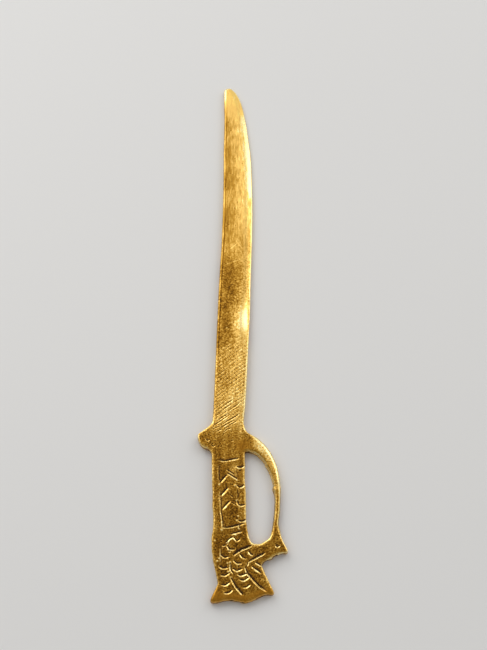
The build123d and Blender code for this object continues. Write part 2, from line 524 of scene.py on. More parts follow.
@dataclass
class Blade(Region):
    """The curved blade, with its rim line, dressing marks and cross-hatching near the hilt.

    Attributes:
        rim_line: distance of the fine dark line from the spine, a painted dark reflection over a shallow
            groove.
        rim_line_width: half its width.
        rim_line_depth: its depth.
        hatch_pitch: spacing of the cross-hatching.
        hatch_slants: slopes of its two families of strokes, in degrees.
        hatch_wander: how far the strokes stray from straight lines.
        hatch_top: where the cross-hatching fades out.
        hatch_fade: length over which it does.
        hatch_depth: its depth.
        face_fall: of the face towards the point, for each millimetre.
        bevel_slope: of the ground bevel.
        worn_middle: the most worn place of the cutting edge.
        worn_reach: how far along the edge the wear spreads.
        worn_width: how far in it goes.
        worn_drop: how far it lowers the edge.
        slice_length: of the short lengths in which the sides are measured.
        spine_trim: places along the spine and how far it is moved there.
        edge_trim: the same for the cutting edge.
        coarse_marks: marks of a coarse file across the root, rising towards the cutting edge.
        fine_marks: number of finer ones beside them.
        scratches: shallow scratches and dots, worn bright with a painted highlight.
    """

    node: str = "blade"
    rim_line: float = 0.95
    rim_line_width: float = 0.24
    rim_line_depth: float = 0.02
    hatch_pitch: float = 1.08
    hatch_slants: Point = (36.0, -47.0)
    hatch_wander: float = 0.35
    hatch_top: float = -8.0
    hatch_fade: float = 12.0
    hatch_depth: float = 0.075
    face_fall: float = 1.2 / 144.0
    bevel_slope: float = 0.4
    worn_middle: float = -2.8
    worn_reach: float = 8.0
    worn_width: float = 3.6
    worn_drop: float = 0.55
    slice_length: float = 1.5
    spine_trim: tuple[Point, ...] = (
        (-41.6, -0.05), (-35.0, -0.15), (-18.0, -0.31), (-4.0, -0.42), (8.0, -0.4), (18.0, -0.22),
        (28.0, 0.06), (40.0, 0.16), (57.0, 0.14), (70.0, 0.02), (82.0, 0.14), (87.0, 0.18),
        (92.0, 0.06), (98.0, 0.0),
    )
    edge_trim: tuple[Point, ...] = (
        (-41.6, 0.0), (-38.0, 0.32), (-24.0, 0.15), (-12.0, 0.0), (12.0, -0.13), (26.0, 0.0),
        (43.0, 0.15), (52.0, 0.0), (62.0, -0.2), (75.0, -0.42), (79.0, -0.36), (84.0, 0.0),
        (90.0, 0.08), (98.0, 0.0),
    )
    coarse_marks: tuple[Cut, ...] = (
        Cut(((-9.6, -44.0), (-6.4, -41.8), (-3.9, -39.9)), 0.6, 0.1),
        Cut(((-6.4, -43.4), (-3.5, -41.6), (-1.0, -40.0)), 0.6, 0.1),
        Cut(((-7.1, -44.6), (-5.0, -43.5), (-2.6, -42.1)), 0.55, 0.1),
        Cut(((-4.4, -43.9), (-1.8, -42.5)), 0.55, 0.1),
        Cut(((-5.7, -45.7), (-3.4, -44.8)), 0.5, 0.08),
        Cut(((-6.8, -38.3), (-3.9, -36.5)), 0.5, 0.08),
        Cut(((-4.4, -38.6), (-2.0, -36.9), (-0.9, -35.9)), 0.5, 0.08),
        Cut(((-7.8, -41.9), (-6.1, -40.6)), 0.5, 0.07),
        Cut(((-9.6, -45.1), (-7.4, -44.2)), 0.5, 0.08),
    )
    fine_marks: int = 14
    scratches: tuple[Cut, ...] = (
        Cut(((-4.5, 25.9), (-3.3, 27.1), (-2.0, 28.3)), 0.5, 0.02),
        Cut(((-2.0, 29.6), (-0.8, 27.8), (0.6, 25.9)), 0.5, 0.02),
        Cut(((-6.4, 19.1), (-3.7, 20.4), (-0.9, 21.3)), 0.5, 0.02),
        Cut(((-7.0, 15.0),), 0.8, 0.03, Taper.NONE),
        Cut(((-3.5, 10.4),), 0.8, 0.03, Taper.NONE),
        Cut(((-5.3, -6.8),), 0.8, 0.03, Taper.NONE),
    )

    @property
    def root(self) -> float:
        """Where the blade ends at the guard."""
        return DIVISIONS.root[0].y / MM

    def bounds(self) -> list[Plane]:
        """The root plane."""
        return [DIVISIONS.root]

    def true_up(self, skin: Skin) -> None:
        """Moves the spine and the cutting edge by their trims, and all between them in proportion.

        Args:
            skin: the casting's surface.
        """
        own = skin.y > self.root
        numbers = np.clip((skin.y - skin.y[own].min()) / self.slice_length, 0.0, None)
        slices = int(numbers.max()) + 1
        left, right = np.full(slices, np.inf), np.full(slices, -np.inf)
        np.minimum.at(left, numbers[own].astype(int), skin.x[own])
        np.maximum.at(right, numbers[own].astype(int), skin.x[own])
        middles = np.arange(slices) + 0.5
        spine, edge = np.interp(numbers, middles, left), np.interp(numbers, middles, right)
        share = np.clip((skin.x - spine) / (edge - spine), 0.0, 1.0)
        spine_trim, edge_trim = (self.evened(trim, skin.y) for trim in (self.spine_trim, self.edge_trim))
        skin.shift(np.where(own, (1.0 - share) * spine_trim + share * edge_trim, 0.0))

    @staticmethod
    def evened(trim: tuple[Point, ...], along: np.ndarray) -> np.ndarray:
        """A trim at each place along the blade, with its corners rounded off.

        Args:
            trim: places along the blade and the trim at each.
            along: the places that are asked for.

        Returns:
            One trim for each place.
        """
        steps = np.arange(-60.0, 120.0)
        table = np.convolve(np.interp(steps, *zip(*trim)), np.full(5, 0.2), "same")
        return np.interp(along, steps, table)

    def sculpt(self, skin: Skin) -> None:
        """Rim line, painted shade and highlights, cross-hatching and the file's marks at the root.

        Args:
            skin: the casting's surface.
        """
        above = ease(-43.0, -40.0, skin.y)
        walls = skin.walls() & (skin.y > -42.0)
        spine = self.evened_distance(skin, walls & (skin.normals[:, 0] < -0.5))
        edge = self.evened_distance(skin, walls & (skin.normals[:, 0] > 0.3))
        self.dress_edge(skin, edge, above)
        self.dull_and_shade(skin, spine, edge, above)
        self.polish_and_sheen(skin, spine, edge, above)
        # The fine dark line beside the spine is a painted dark reflection over a very shallow groove.
        line = bell(self.rim_line, self.rim_line_width, spine) * above
        line *= ease(96.0, 86.0, skin.y)
        line *= (0.6 + 0.4 * ease(45.0, 30.0, skin.y)) * ease(-28.0, -12.0, skin.y)
        skin.mark("line", 0.75 * line)
        skin.places[:, 2] -= self.rim_line_depth * line
        self.hatch(skin, above)
        for cut in self.file_marks():
            skin.engrave(cut, burr=0.15, gleam=0.1)
        for cut in self.scratches:
            # The scratches' gentle walls are worn bright metal with a painted highlight.
            skin.engrave(cut, gleam=3.2)

    def evened_distance(self, skin: Skin, side: np.ndarray, reach: float = 20.0,
                        foot: float = -43.0) -> np.ndarray:
        """Distance in plan from one side of the blade, without the small steps of the skin's faces.

        Args:
            skin: the casting's surface.
            side: True for the vertices of that side.
            reach: the distance given to places that face sideways or down.
            foot: where the line along the side starts, below the root.

        Returns:
            Distances from a smooth line along the side, and plain ones near the point.
        """
        plain = skin.distance_from(side, reach)
        long = side & (skin.y < 97.0)
        numbers = ((skin.y[long] - foot) / self.slice_length).astype(int)
        counts = np.bincount(numbers)
        middles = foot + self.slice_length * (np.flatnonzero(counts) + 0.5)
        means = (np.bincount(numbers, skin.x[long]) / np.maximum(counts, 1))[counts > 0]
        line = np.poly1d(np.polyfit(middles, means, 9))
        even = np.abs(line(skin.y) - skin.x) / np.hypot(1.0, line.deriv()(skin.y))
        return np.where(plain < reach, plain + ease(92.0, 86.0, skin.y) * (even - plain), plain)

    def dress_edge(self, skin: Skin, edge: np.ndarray, above: np.ndarray) -> None:
        """Evens the ground bevel, rounds its inner line and wears a shallow hollow into it.

        Args:
            skin: the casting's surface.
            edge: distance from the cutting edge.
            above: weight that keeps this on the blade.
        """
        face = THICKNESS - self.face_fall * (skin.y - self.root)
        soft = 0.28 + 0.3 * ease(53.0, 45.0, skin.y)
        past = (self.bevel_widths(skin, edge, face - skin.z) - edge) / soft
        ground = face - self.bevel_slope * soft * np.logaddexp(0.0, past)
        weight = ease(0.2, 0.55, edge) * ease(4.5, 3.5, edge) * ease(93.0, 86.0, skin.y)
        along = bell(self.worn_middle, self.worn_reach, skin.y)
        worn = self.worn_drop * ease(self.worn_width, 0.0, edge) * along
        skin.places[:, 2] += above * skin.upward * (weight * (ground - skin.z) - worn)
        skin.mark("smooth", 0.9 * bell(1.6, 1.7, edge) * along)

    def bevel_widths(self, skin: Skin, edge: np.ndarray, drop: np.ndarray, length: float = 2.0,
                     slices: int = 80) -> np.ndarray:
        """Width of the ground bevel beside each vertex, measured on the skin.

        Args:
            skin: the casting's surface.
            edge: distance from the cutting edge.
            drop: depth below the plain face.
            length: of the short lengths in which the width is measured.
            slices: number of them.

        Returns:
            One width for each vertex, 0 where there is no bevel.
        """
        ground = (edge > 0.45) & (edge < 3.0) & (drop > 0.08) & (skin.upward > 0.9) & (skin.y > self.root)
        widths = edge[ground] + drop[ground] / self.bevel_slope
        numbers = ((skin.y[ground] - self.root) / length).astype(int)
        sums, counts = np.bincount(numbers, widths, slices), np.bincount(numbers, minlength=slices)
        means = np.convolve(sums / np.maximum(counts, 1), (0.25, 0.5, 0.25), "same")
        return np.interp(skin.y, self.root + length * np.arange(slices) + length / 2, means)

    @staticmethod
    def dull_and_shade(skin: Skin, spine: np.ndarray, edge: np.ndarray, above: np.ndarray) -> None:
        """Paints shade and light on the face, with some tarnish: darker towards the spine and the root,
        lighter towards the edge and the point.

        Args:
            skin: the casting's surface.
            spine: distance from the spine.
            edge: distance from the cutting edge.
            above: weight that keeps this on the blade.
        """
        across = spine / (spine + edge + 0.01)
        mottled = 1.0 + 0.45 * skin.grain(1.5, 4.4)
        # Tarnish with painted shade and light: darker towards the spine and the root, lighter towards the
        # cutting edge and the point.
        whole = 0.08 * ease(55.0, 25.0, skin.y)
        upper = (0.24 * ease(0.6, 0.15, across) - 0.1 * ease(0.5, 0.85, across)) * ease(22.0, 40.0, skin.y)
        lower = 0.32 * ease(0.95, 0.3, across) * ease(32.0, 14.0, skin.y) * ease(-19.0, -8.0, skin.y)
        rim = (0.2 - 0.16 * ease(20.0, -10.0, skin.y)) * ease(0.95, 0.55, spine) * ease(97.0, 91.0, skin.y)
        hatched = (0.09 - 0.18 * across) * ease(-8.0, -14.0, skin.y) * ease(-42.0, -34.0, skin.y)
        clean_and_glow = 0.04 * ease(20.0, 45.0, skin.y) + 0.06 * ease(72.0, 95.0, skin.y)
        # A painted yellow glow beside the worn place on the cutting edge.
        clean_and_glow += 0.34 * skin.spot((-1.2, -4.8), (3.2, 7.8))
        upper *= ease(95.0, 82.0, skin.y)
        skin.marks["patina"] += above * (whole + upper + lower * mottled + hatched + rim - clean_and_glow)
        skin.mark("smooth", 0.75 * ease(84.0, 91.0, skin.y))

    @staticmethod
    def polish_and_sheen(skin: Skin, spine: np.ndarray, edge: np.ndarray, above: np.ndarray) -> None:
        """Paints highlights on the ground bevel, the rims, the point and the worn place, over partly
        polished metal.

        Args:
            skin: the casting's surface.
            spine: distance from the spine.
            edge: distance from the cutting edge.
            above: weight that keeps this on the blade.
        """
        bevel = 0.85 * ease(2.0, 0.8, edge) * ease(92.0, 81.0, skin.y) * ease(45.0, 53.0, skin.y)
        rim = (0.12 + 0.3 * ease(-16.0, -26.0, skin.y)) * ease(1.0, 0.3, edge) * ease(54.0, 44.0, skin.y)
        point = 0.4 * ease(1.3, 0.7, np.minimum(spine, 2.0 * edge)) * ease(94.5, 99.0, skin.y)
        worn = 0.7 * bell(1.5, 1.0, edge) * bell(-2.5, 6.8, skin.y)
        stain = skin.spot((3.5, 46.8), (0.8, 3.2))
        skin.mark("polish_and_sheen", above * (1.0 - 0.7 * stain) * np.maximum.reduce([bevel, rim, point, worn]))
        skin.marks["patina"] += 0.16 * stain

    def hatch(self, skin: Skin, above: np.ndarray) -> None:
        """Two crossing families of file strokes, which leave a pit at each crossing.

        Args:
            skin: the casting's surface.
            above: weight that keeps the hatching on the blade.
        """
        wander = self.hatch_wander * skin.grain(5.0, 3.1)
        turn = 2 * math.pi / self.hatch_pitch
        families = []
        for slant, shift in zip(self.hatch_slants, (wander, -wander)):
            slope = math.radians(slant)
            across = skin.x * math.sin(slope) - skin.y * math.cos(slope)
            families.append(np.maximum(np.sin((across + shift) * turn), 0.0))
        rising, falling = families
        weight = above * ease(self.hatch_top, self.hatch_top - self.hatch_fade, skin.y) * skin.upward
        weight *= np.clip(0.75 + 0.9 * skin.grain(2.6, 8.8), 0.0, 1.3)
        dashes = weight * rising ** 2 * (0.3 + 0.7 * falling)
        skin.places[:, 2] -= self.hatch_depth * (dashes + 0.15 * weight * falling)
        skin.mark("line", 0.8 * dashes)

    def file_marks(self) -> list[Cut]:
        """The marks of the file across the root.

        Returns:
            The coarse marks, and the finer ones strewn among them.
        """
        marks = list(self.coarse_marks)
        source = np.random.default_rng(7)
        for _ in range(self.fine_marks):
            middle = np.array((source.uniform(-8.0, -1.5), source.uniform(-46.0, -34.0)))
            slope = math.radians(source.uniform(25.0, 38.0))
            reach = np.array((math.cos(slope), math.sin(slope))) * source.uniform(0.7, 1.7)
            ends = tuple(middle - reach), tuple(middle + reach)
            marks.append(Cut(ends, source.uniform(0.35, 0.5), source.uniform(0.03, 0.06)))
        return marks


@dataclass
class Guard(Region):
    """The guard with its quillon lobe."""

    node: str = "guard"
    nudges: tuple[Nudge, ...] = (
        Nudge((-12.0, -44.6), (2.5, 2.0), (-0.08, 0.15)),
        Nudge((-10.0, -42.4), (1.6, 2.0), (-0.15, 0.08)),
        Nudge((0.9, -44.0), (1.5, 2.6), (0.18, 0.04)),
        Nudge((3.6, -52.6), (2.4, 1.6), (-0.04, -0.26)),
    )
    cuts: tuple[Cut, ...] = (
        Cut(((-12.3, -48.6), (-11.6, -49.4), (-10.8, -48.9)), 0.55, 0.08),
        Cut(((-10.4, -50.8), (-9.7, -51.4), (-8.9, -51.0)), 0.55, 0.08),
        Cut(((-8.6, -46.2), (-6.9, -45.4)), 0.45, 0.08),
    )

    def bounds(self) -> list[Plane]:
        """The root, grip and bow planes."""
        return [flipped(DIVISIONS.root), DIVISIONS.guard, DIVISIONS.bow]

    def sculpt(self, skin: Skin) -> None:
        """Small tool marks on the lobe and a smooth brown place beside the bow.

        Args:
            skin: the casting's surface.
        """
        brown = skin.spot((0.2, -51.0), (2.4, 2.0))
        skin.mark("amber", 0.35 * brown)
        skin.mark("smooth", 0.8 * brown)
        skin.marks["patina"] += 0.05 * skin.spot((-5.0, -49.5), (6.0, 3.0)) + 0.1 * brown
        skin.marks["patina"] -= 0.05 * ease(-55.0, -52.0, skin.y) * ease(-43.0, -46.0, skin.y)
        # Painted highlight along the top edge of the lobe.
        skin.mark("polish_and_sheen", skin.spot((-11.4, -45.4), (3.6, 1.4)) * skin.marks["edge"])
        self.engrave(skin)


@dataclass
class Grip(Region):
    """The grip, engraved with a framed pattern of slanting strokes and small arcs.

    Attributes:
        side_gain: how far its side is moved into the finger gap.
    """

    node: str = "grip"
    side_gain: float = 0.33
    nudges: tuple[Nudge, ...] = (
        Nudge((-9.6, -71.6), (2.0, 2.4), (-0.3, 0.0)),
        Nudge((-9.6, -78.4), (2.0, 2.2), (0.15, 0.0)),
    )
    cuts: tuple[Cut, ...] = (
        Cut(((-7.9, -56.2), (-5.6, -56.5), (-3.4, -56.1), (-0.8, -55.5)), 0.8),
        Cut(((-7.8, -57.6), (-7.7, -61.0), (-7.6, -63.6)), 0.7, 0.08),
        Cut(((-6.9, -66.5), (-7.4, -68.6)), 0.5, 0.12),
        Cut(((-7.1, -67.8), (-6.9, -71.0), (-6.8, -73.8)), 0.9, 0.08),
        Cut(((-6.9, -73.2), (-6.4, -76.2), (-6.2, -79.0)), 0.7, 0.22),
        Cut(((-6.3, -78.8), (-4.3, -78.8), (-1.9, -78.3), (1.0, -77.5)), 0.75, 0.28),
        Cut(((-0.6, -77.2), (-0.9, -79.2)), 0.5, 0.12),
        Cut(((-7.1, -64.0), (-4.8, -61.3)), 0.9),
        Cut(((-6.8, -68.4), (-4.4, -65.6)), 0.9),
        Cut(((-6.4, -73.0), (-3.7, -70.0)), 0.9),
        Cut(((-5.0, -59.5), (-2.4, -61.3)), 0.7, 0.13),
        Cut(((-4.9, -60.7), (-3.5, -61.5), (-1.4, -62.9)), 0.75, 0.15),
        Cut(((-4.0, -68.0), (-2.7, -69.0)), 0.6, 0.07),
        Cut(((-3.5, -70.4), (-1.9, -71.5)), 0.6, 0.09),
        Cut(((-1.9, -59.4), (-1.7, -61.0), (-1.7, -62.8)), 0.8, 0.05),
        Cut(((-1.5, -66.0), (-1.4, -67.8), (-1.5, -69.4)), 0.8, 0.05),
        Cut(((-1.7, -58.3), (-1.1, -58.7), (-0.5, -58.8), (0.1, -58.7), (0.9, -58.2)), 0.8, 0.24),
        Cut(((-1.6, -64.9), (-1.0, -65.4), (-0.4, -65.5), (0.2, -65.3), (0.9, -64.7)), 0.8, 0.26),
        Cut(((-1.5, -69.8), (-1.2, -71.2), (-0.1, -71.7), (1.3, -71.2)), 0.8, 0.24),
        Cut(((-1.1, -76.4), (-0.5, -76.8), (0.1, -76.9), (0.8, -76.7), (1.5, -76.2)), 0.85, 0.28),
    )
    burrs: tuple[Point, ...] = (
        (-7.4, -64.5), (-6.5, -79.6), (-0.9, -79.1), (-1.6, -62.9), (-2.1, -64.8),
        (-1.2, -75.1), (-1.6, -76.5), (-1.5, -69.9), (-2.5, -71.1),
    )

    def bounds(self) -> list[Plane]:
        """The guard and neck planes, and the one through the gap."""
        return [flipped(DIVISIONS.guard), DIVISIONS.neck, DIVISIONS.gap]

    def true_up(self, skin: Skin) -> None:
        """Brings the side of the grip a little further into the gap.

        Args:
            skin: the casting's surface.
        """
        super().true_up(skin)
        inner = ease(-4.0, 0.5, skin.x) * ease(6.5, 5.0, skin.x)
        skin.shift(self.side_gain * inner * ease(-62.0, -68.0, skin.y) * ease(-86.0, -80.0, skin.y))

    def sculpt(self, skin: Skin) -> None:
        """Engraved strokes on a darker ground.

        Args:
            skin: the casting's surface.
        """
        wiped = skin.spot((-3.2, -58.9), (1.5, 1.2))
        skin.marks["patina"] += 0.05 * ease(-54.0, -57.0, skin.y) - 0.22 * wiped
        self.engrave(skin, gleam=0.8)


@dataclass
class KnuckleBow(Region):
    """The rounded bow around the finger gap.

    Attributes:
        outer_run: how far in from its outer edge the bow is rounded.
        outer_drop: how far the outer edge lies below the middle.
        inner_run: how far in from its inner edge it is rounded.
        inner_drop: how far the inner edge lies below the middle.
        waist: place across of the bow's middle line at its waist.
        waist_gain: how far its outer side is moved out there.
        reach: the longest distance from its sides that matters.
    """

    node: str = "knuckle_bow"
    nudges: tuple[Nudge, ...] = (
        Nudge((6.3, -54.6), (1.7, 1.9), (-0.14, -0.18)),
        Nudge((8.6, -58.2), (1.5, 2.8), (-0.24, -0.1)),
        Nudge((10.4, -66.1), (0.8, 0.9), (-0.5, 0.0)),
    )
    outer_run: float = 2.2
    outer_drop: float = 0.6
    inner_run: float = 1.5
    inner_drop: float = 0.7
    waist: float = 11.2
    waist_gain: float = 0.36
    reach: float = 4.0

    def bounds(self) -> list[Plane]:
        """The bow and neck planes, and the one through the gap."""
        return [flipped(DIVISIONS.bow), DIVISIONS.neck, flipped(DIVISIONS.gap)]

    def true_up(self, skin: Skin) -> None:
        """Widens the bow's waist.

        Args:
            skin: the casting's surface.
        """
        super().true_up(skin)
        weight = ease(-69.0, -74.0, skin.y) * ease(-83.0, -79.0, skin.y) * ease(7.0, 9.0, skin.x)
        skin.shift(weight * np.clip(0.35 * (skin.x - self.waist), -0.05, self.waist_gain))

    def sculpt(self, skin: Skin) -> None:
        """Rounds the bow's face over, with painted highlights on its rims and outer upper side, painted
        shade beside its inner edge and a darker lower middle.

        Args:
            skin: the casting's surface.
        """
        weight = ease(2.0, 6.0, skin.x) * ease(-83.0, -77.5, skin.y) * ease(-44.0, -47.0, skin.y)
        walls = skin.walls() & (weight > 0.0)
        outward = skin.normals[:, 0] * 0.8 + skin.normals[:, 1] * 0.6
        outer = skin.distance_from(walls & (outward > 0.15), self.reach)
        inner = skin.distance_from(walls & (outward < -0.15), self.reach)
        skin.round_over(outer, self.outer_run, self.outer_drop, weight)
        skin.round_over(inner, self.inner_run, self.inner_drop, weight)
        # Painted highlights on the rims and on the upper part of the outer side.
        upper = ease(-70.0, -61.0, skin.y)
        painted_outer_highlight = upper * ease(0.12, 0.5, inner / (inner + outer + 0.01))
        rims = np.maximum(ease(0.85 + 0.5 * upper, 0.3, outer), 0.8 * ease(0.7, 0.25, inner))
        skin.mark("polish_and_sheen", (0.6 + 0.25 * upper) * weight * rims * ease(-81.0, -77.0, skin.y))
        # Painted shade beside the inner edge; the lower part is darker away from the rims.
        skin.marks["patina"] += 0.12 * weight * ease(2.0, 1.3, inner) * ease(0.5, 0.8, inner)
        skin.marks["patina"] += 0.2 * weight * ease(-66.0, -71.0, skin.y) * (1.0 - 0.6 * rims)
        skin.marks["patina"] -= weight * (0.04 + 0.4 * painted_outer_highlight)


@dataclass
class Pommel(Region):
    """The pommel, a beast's head with scales along its engraved curves.

    Attributes:
        base_run: width of the smooth band along the base.
        base_drop: how far that band falls off.
        reach: the longest distance from its sides that matters.
    """

    node: str = "pommel"
    nudges: tuple[Nudge, ...] = (
        Nudge((4.4, -84.6), (1.7, 1.6), (0.0, 0.45)),
        Nudge((7.7, -83.8), (1.8, 1.7), (-0.18, 0.4)),
        Nudge((8.4, -88.2), (1.6, 1.4), (0.1, -0.35)),
        Nudge((10.3, -87.2), (1.6, 1.4), (0.08, -0.2)),
    )
    base_run: float = 2.4
    base_drop: float = 0.5
    reach: float = 4.0
    cuts: tuple[Cut, ...] = (
        Cut(((-3.5, -81.1), (0.3, -80.1)), 0.75),
        Cut(((-4.8, -84.4), (-4.2, -82.9), (-2.7, -81.9)), 0.7),
        Cut(((-2.7, -81.9), (-1.6, -83.2), (-0.4, -82.6)), 0.7),
        Cut(((-4.8, -84.7), (-3.9, -85.9), (-2.1, -85.9)), 0.7),
        Cut(((-6.2, -84.8), (-5.1, -84.6)), 0.55, 0.24),
        Cut(((-3.9, -86.6),), 0.7, 0.28, Taper.NONE),
        Cut(((-6.8, -87.6), (-5.5, -88.5), (-3.8, -88.1)), 0.75),
        Cut(((-7.4, -91.2), (-5.9, -91.9), (-4.2, -91.7)), 0.75),
        Cut(((-6.8, -94.0), (-5.3, -94.2), (-3.7, -93.3)), 0.75),
        Cut(((-6.6, -97.0), (-5.1, -97.2), (-3.6, -96.2)), 0.75),
        Cut(((-5.6, -99.6), (-4.1, -99.6), (-2.8, -98.5)), 0.75),
        Cut(((-6.8, -84.9), (-6.7, -90.7)), 0.5, 0.1),
        Cut(((3.3, -84.7), (-0.4, -86.2), (-2.7, -87.9)), 0.95, 0.4),
        Cut(((-3.6, -90.0), (-3.5, -92.4), (-2.5, -93.7)), 0.6, 0.16),
        Cut(((-3.4, -94.9), (-1.9, -97.5), (0.5, -100.3)), 0.85, 0.36),
        Cut(((2.1, -86.4), (2.8, -87.4), (3.7, -87.8)), 0.75),
        Cut(((-0.6, -87.2), (0.1, -88.3), (1.5, -88.9)), 0.75),
        Cut(((-2.6, -89.4), (-1.6, -90.3), (0.1, -90.4)), 0.75),
        Cut(((-3.0, -91.9), (-1.5, -92.7), (0.3, -92.0)), 0.75),
        Cut(((-1.3, -93.8), (0.0, -94.2), (2.0, -93.4)), 0.75),
        Cut(((-0.8, -95.3), (0.7, -95.7), (2.6, -94.6)), 0.75),
        Cut(((0.3, -97.8), (1.6, -97.8), (2.9, -96.8)), 0.75),
        Cut(((7.6, -87.0), (4.7, -88.5), (2.3, -89.8)), 0.9, 0.38),
        Cut(((2.3, -89.8), (1.8, -91.3)), 0.5, 0.14),
        Cut(((1.1, -91.4), (1.8, -93.3), (3.0, -94.8), (5.2, -97.1), (8.1, -99.2)), 0.85, 0.36),
        Cut(((4.3, -90.0), (6.2, -91.1)), 0.8),
        Cut(((3.2, -91.4), (6.3, -93.5)), 0.85),
        Cut(((10.9, -84.7), (11.6, -85.1), (12.4, -84.7)), 0.7, 0.26),
    )
    burrs: tuple[Point, ...] = (
        (-8.6, -83.1), (-7.8, -89.6), (-7.2, -88.8), (-4.5, -90.2), (-3.7, -90.1),
        (-4.1, -92.9), (-3.3, -94.8), (-1.9, -81.2),
    )

    def bounds(self) -> list[Plane]:
        """The neck plane."""
        return [flipped(DIVISIONS.neck)]

    def sculpt(self, skin: Skin) -> None:
        """The rounded band along the base and the engraved head.

        Args:
            skin: the casting's surface.
        """
        base = skin.walls() & (skin.normals[:, 1] < -0.6) & (skin.y < -98.0)
        share = skin.round_over(skin.distance_from(base, self.reach), self.base_run, self.base_drop)
        band = np.maximum(ease(0.0, 0.4, share), skin.spot((-8.6, -100.5), (2.4, 2.2)))
        skin.mark("amber", 0.75 * band)
        skin.mark("smooth", 0.5 * band)
        # Painted highlights: two small shiny spots, partly wear, the pale lip at the bottom of the finger
        # gap and the rims of the snout and the gap.
        skin.mark("polish_and_sheen", 0.5 * skin.spot((6.4, -95.4), (0.7, 0.6)))
        skin.mark("polish_and_sheen", 0.7 * skin.spot((-2.3, -82.5), (0.9, 0.5)))
        sill = skin.walls() & (skin.normals[:, 1] > 0.15) & (skin.spot((6.0, -83.0), (4.0, 2.6)) > 0.3)
        skin.mark("polish_and_sheen", 0.55 * ease(1.4, 0.3, skin.distance_from(sill, self.reach)))
        lips = skin.spot((14.0, -84.3), (2.2, 4.0)) + skin.spot((5.5, -83.8), (4.5, 1.8))
        skin.mark("polish_and_sheen", np.minimum(lips, 1.0) * skin.marks["edge"])
        self.engrave(skin)


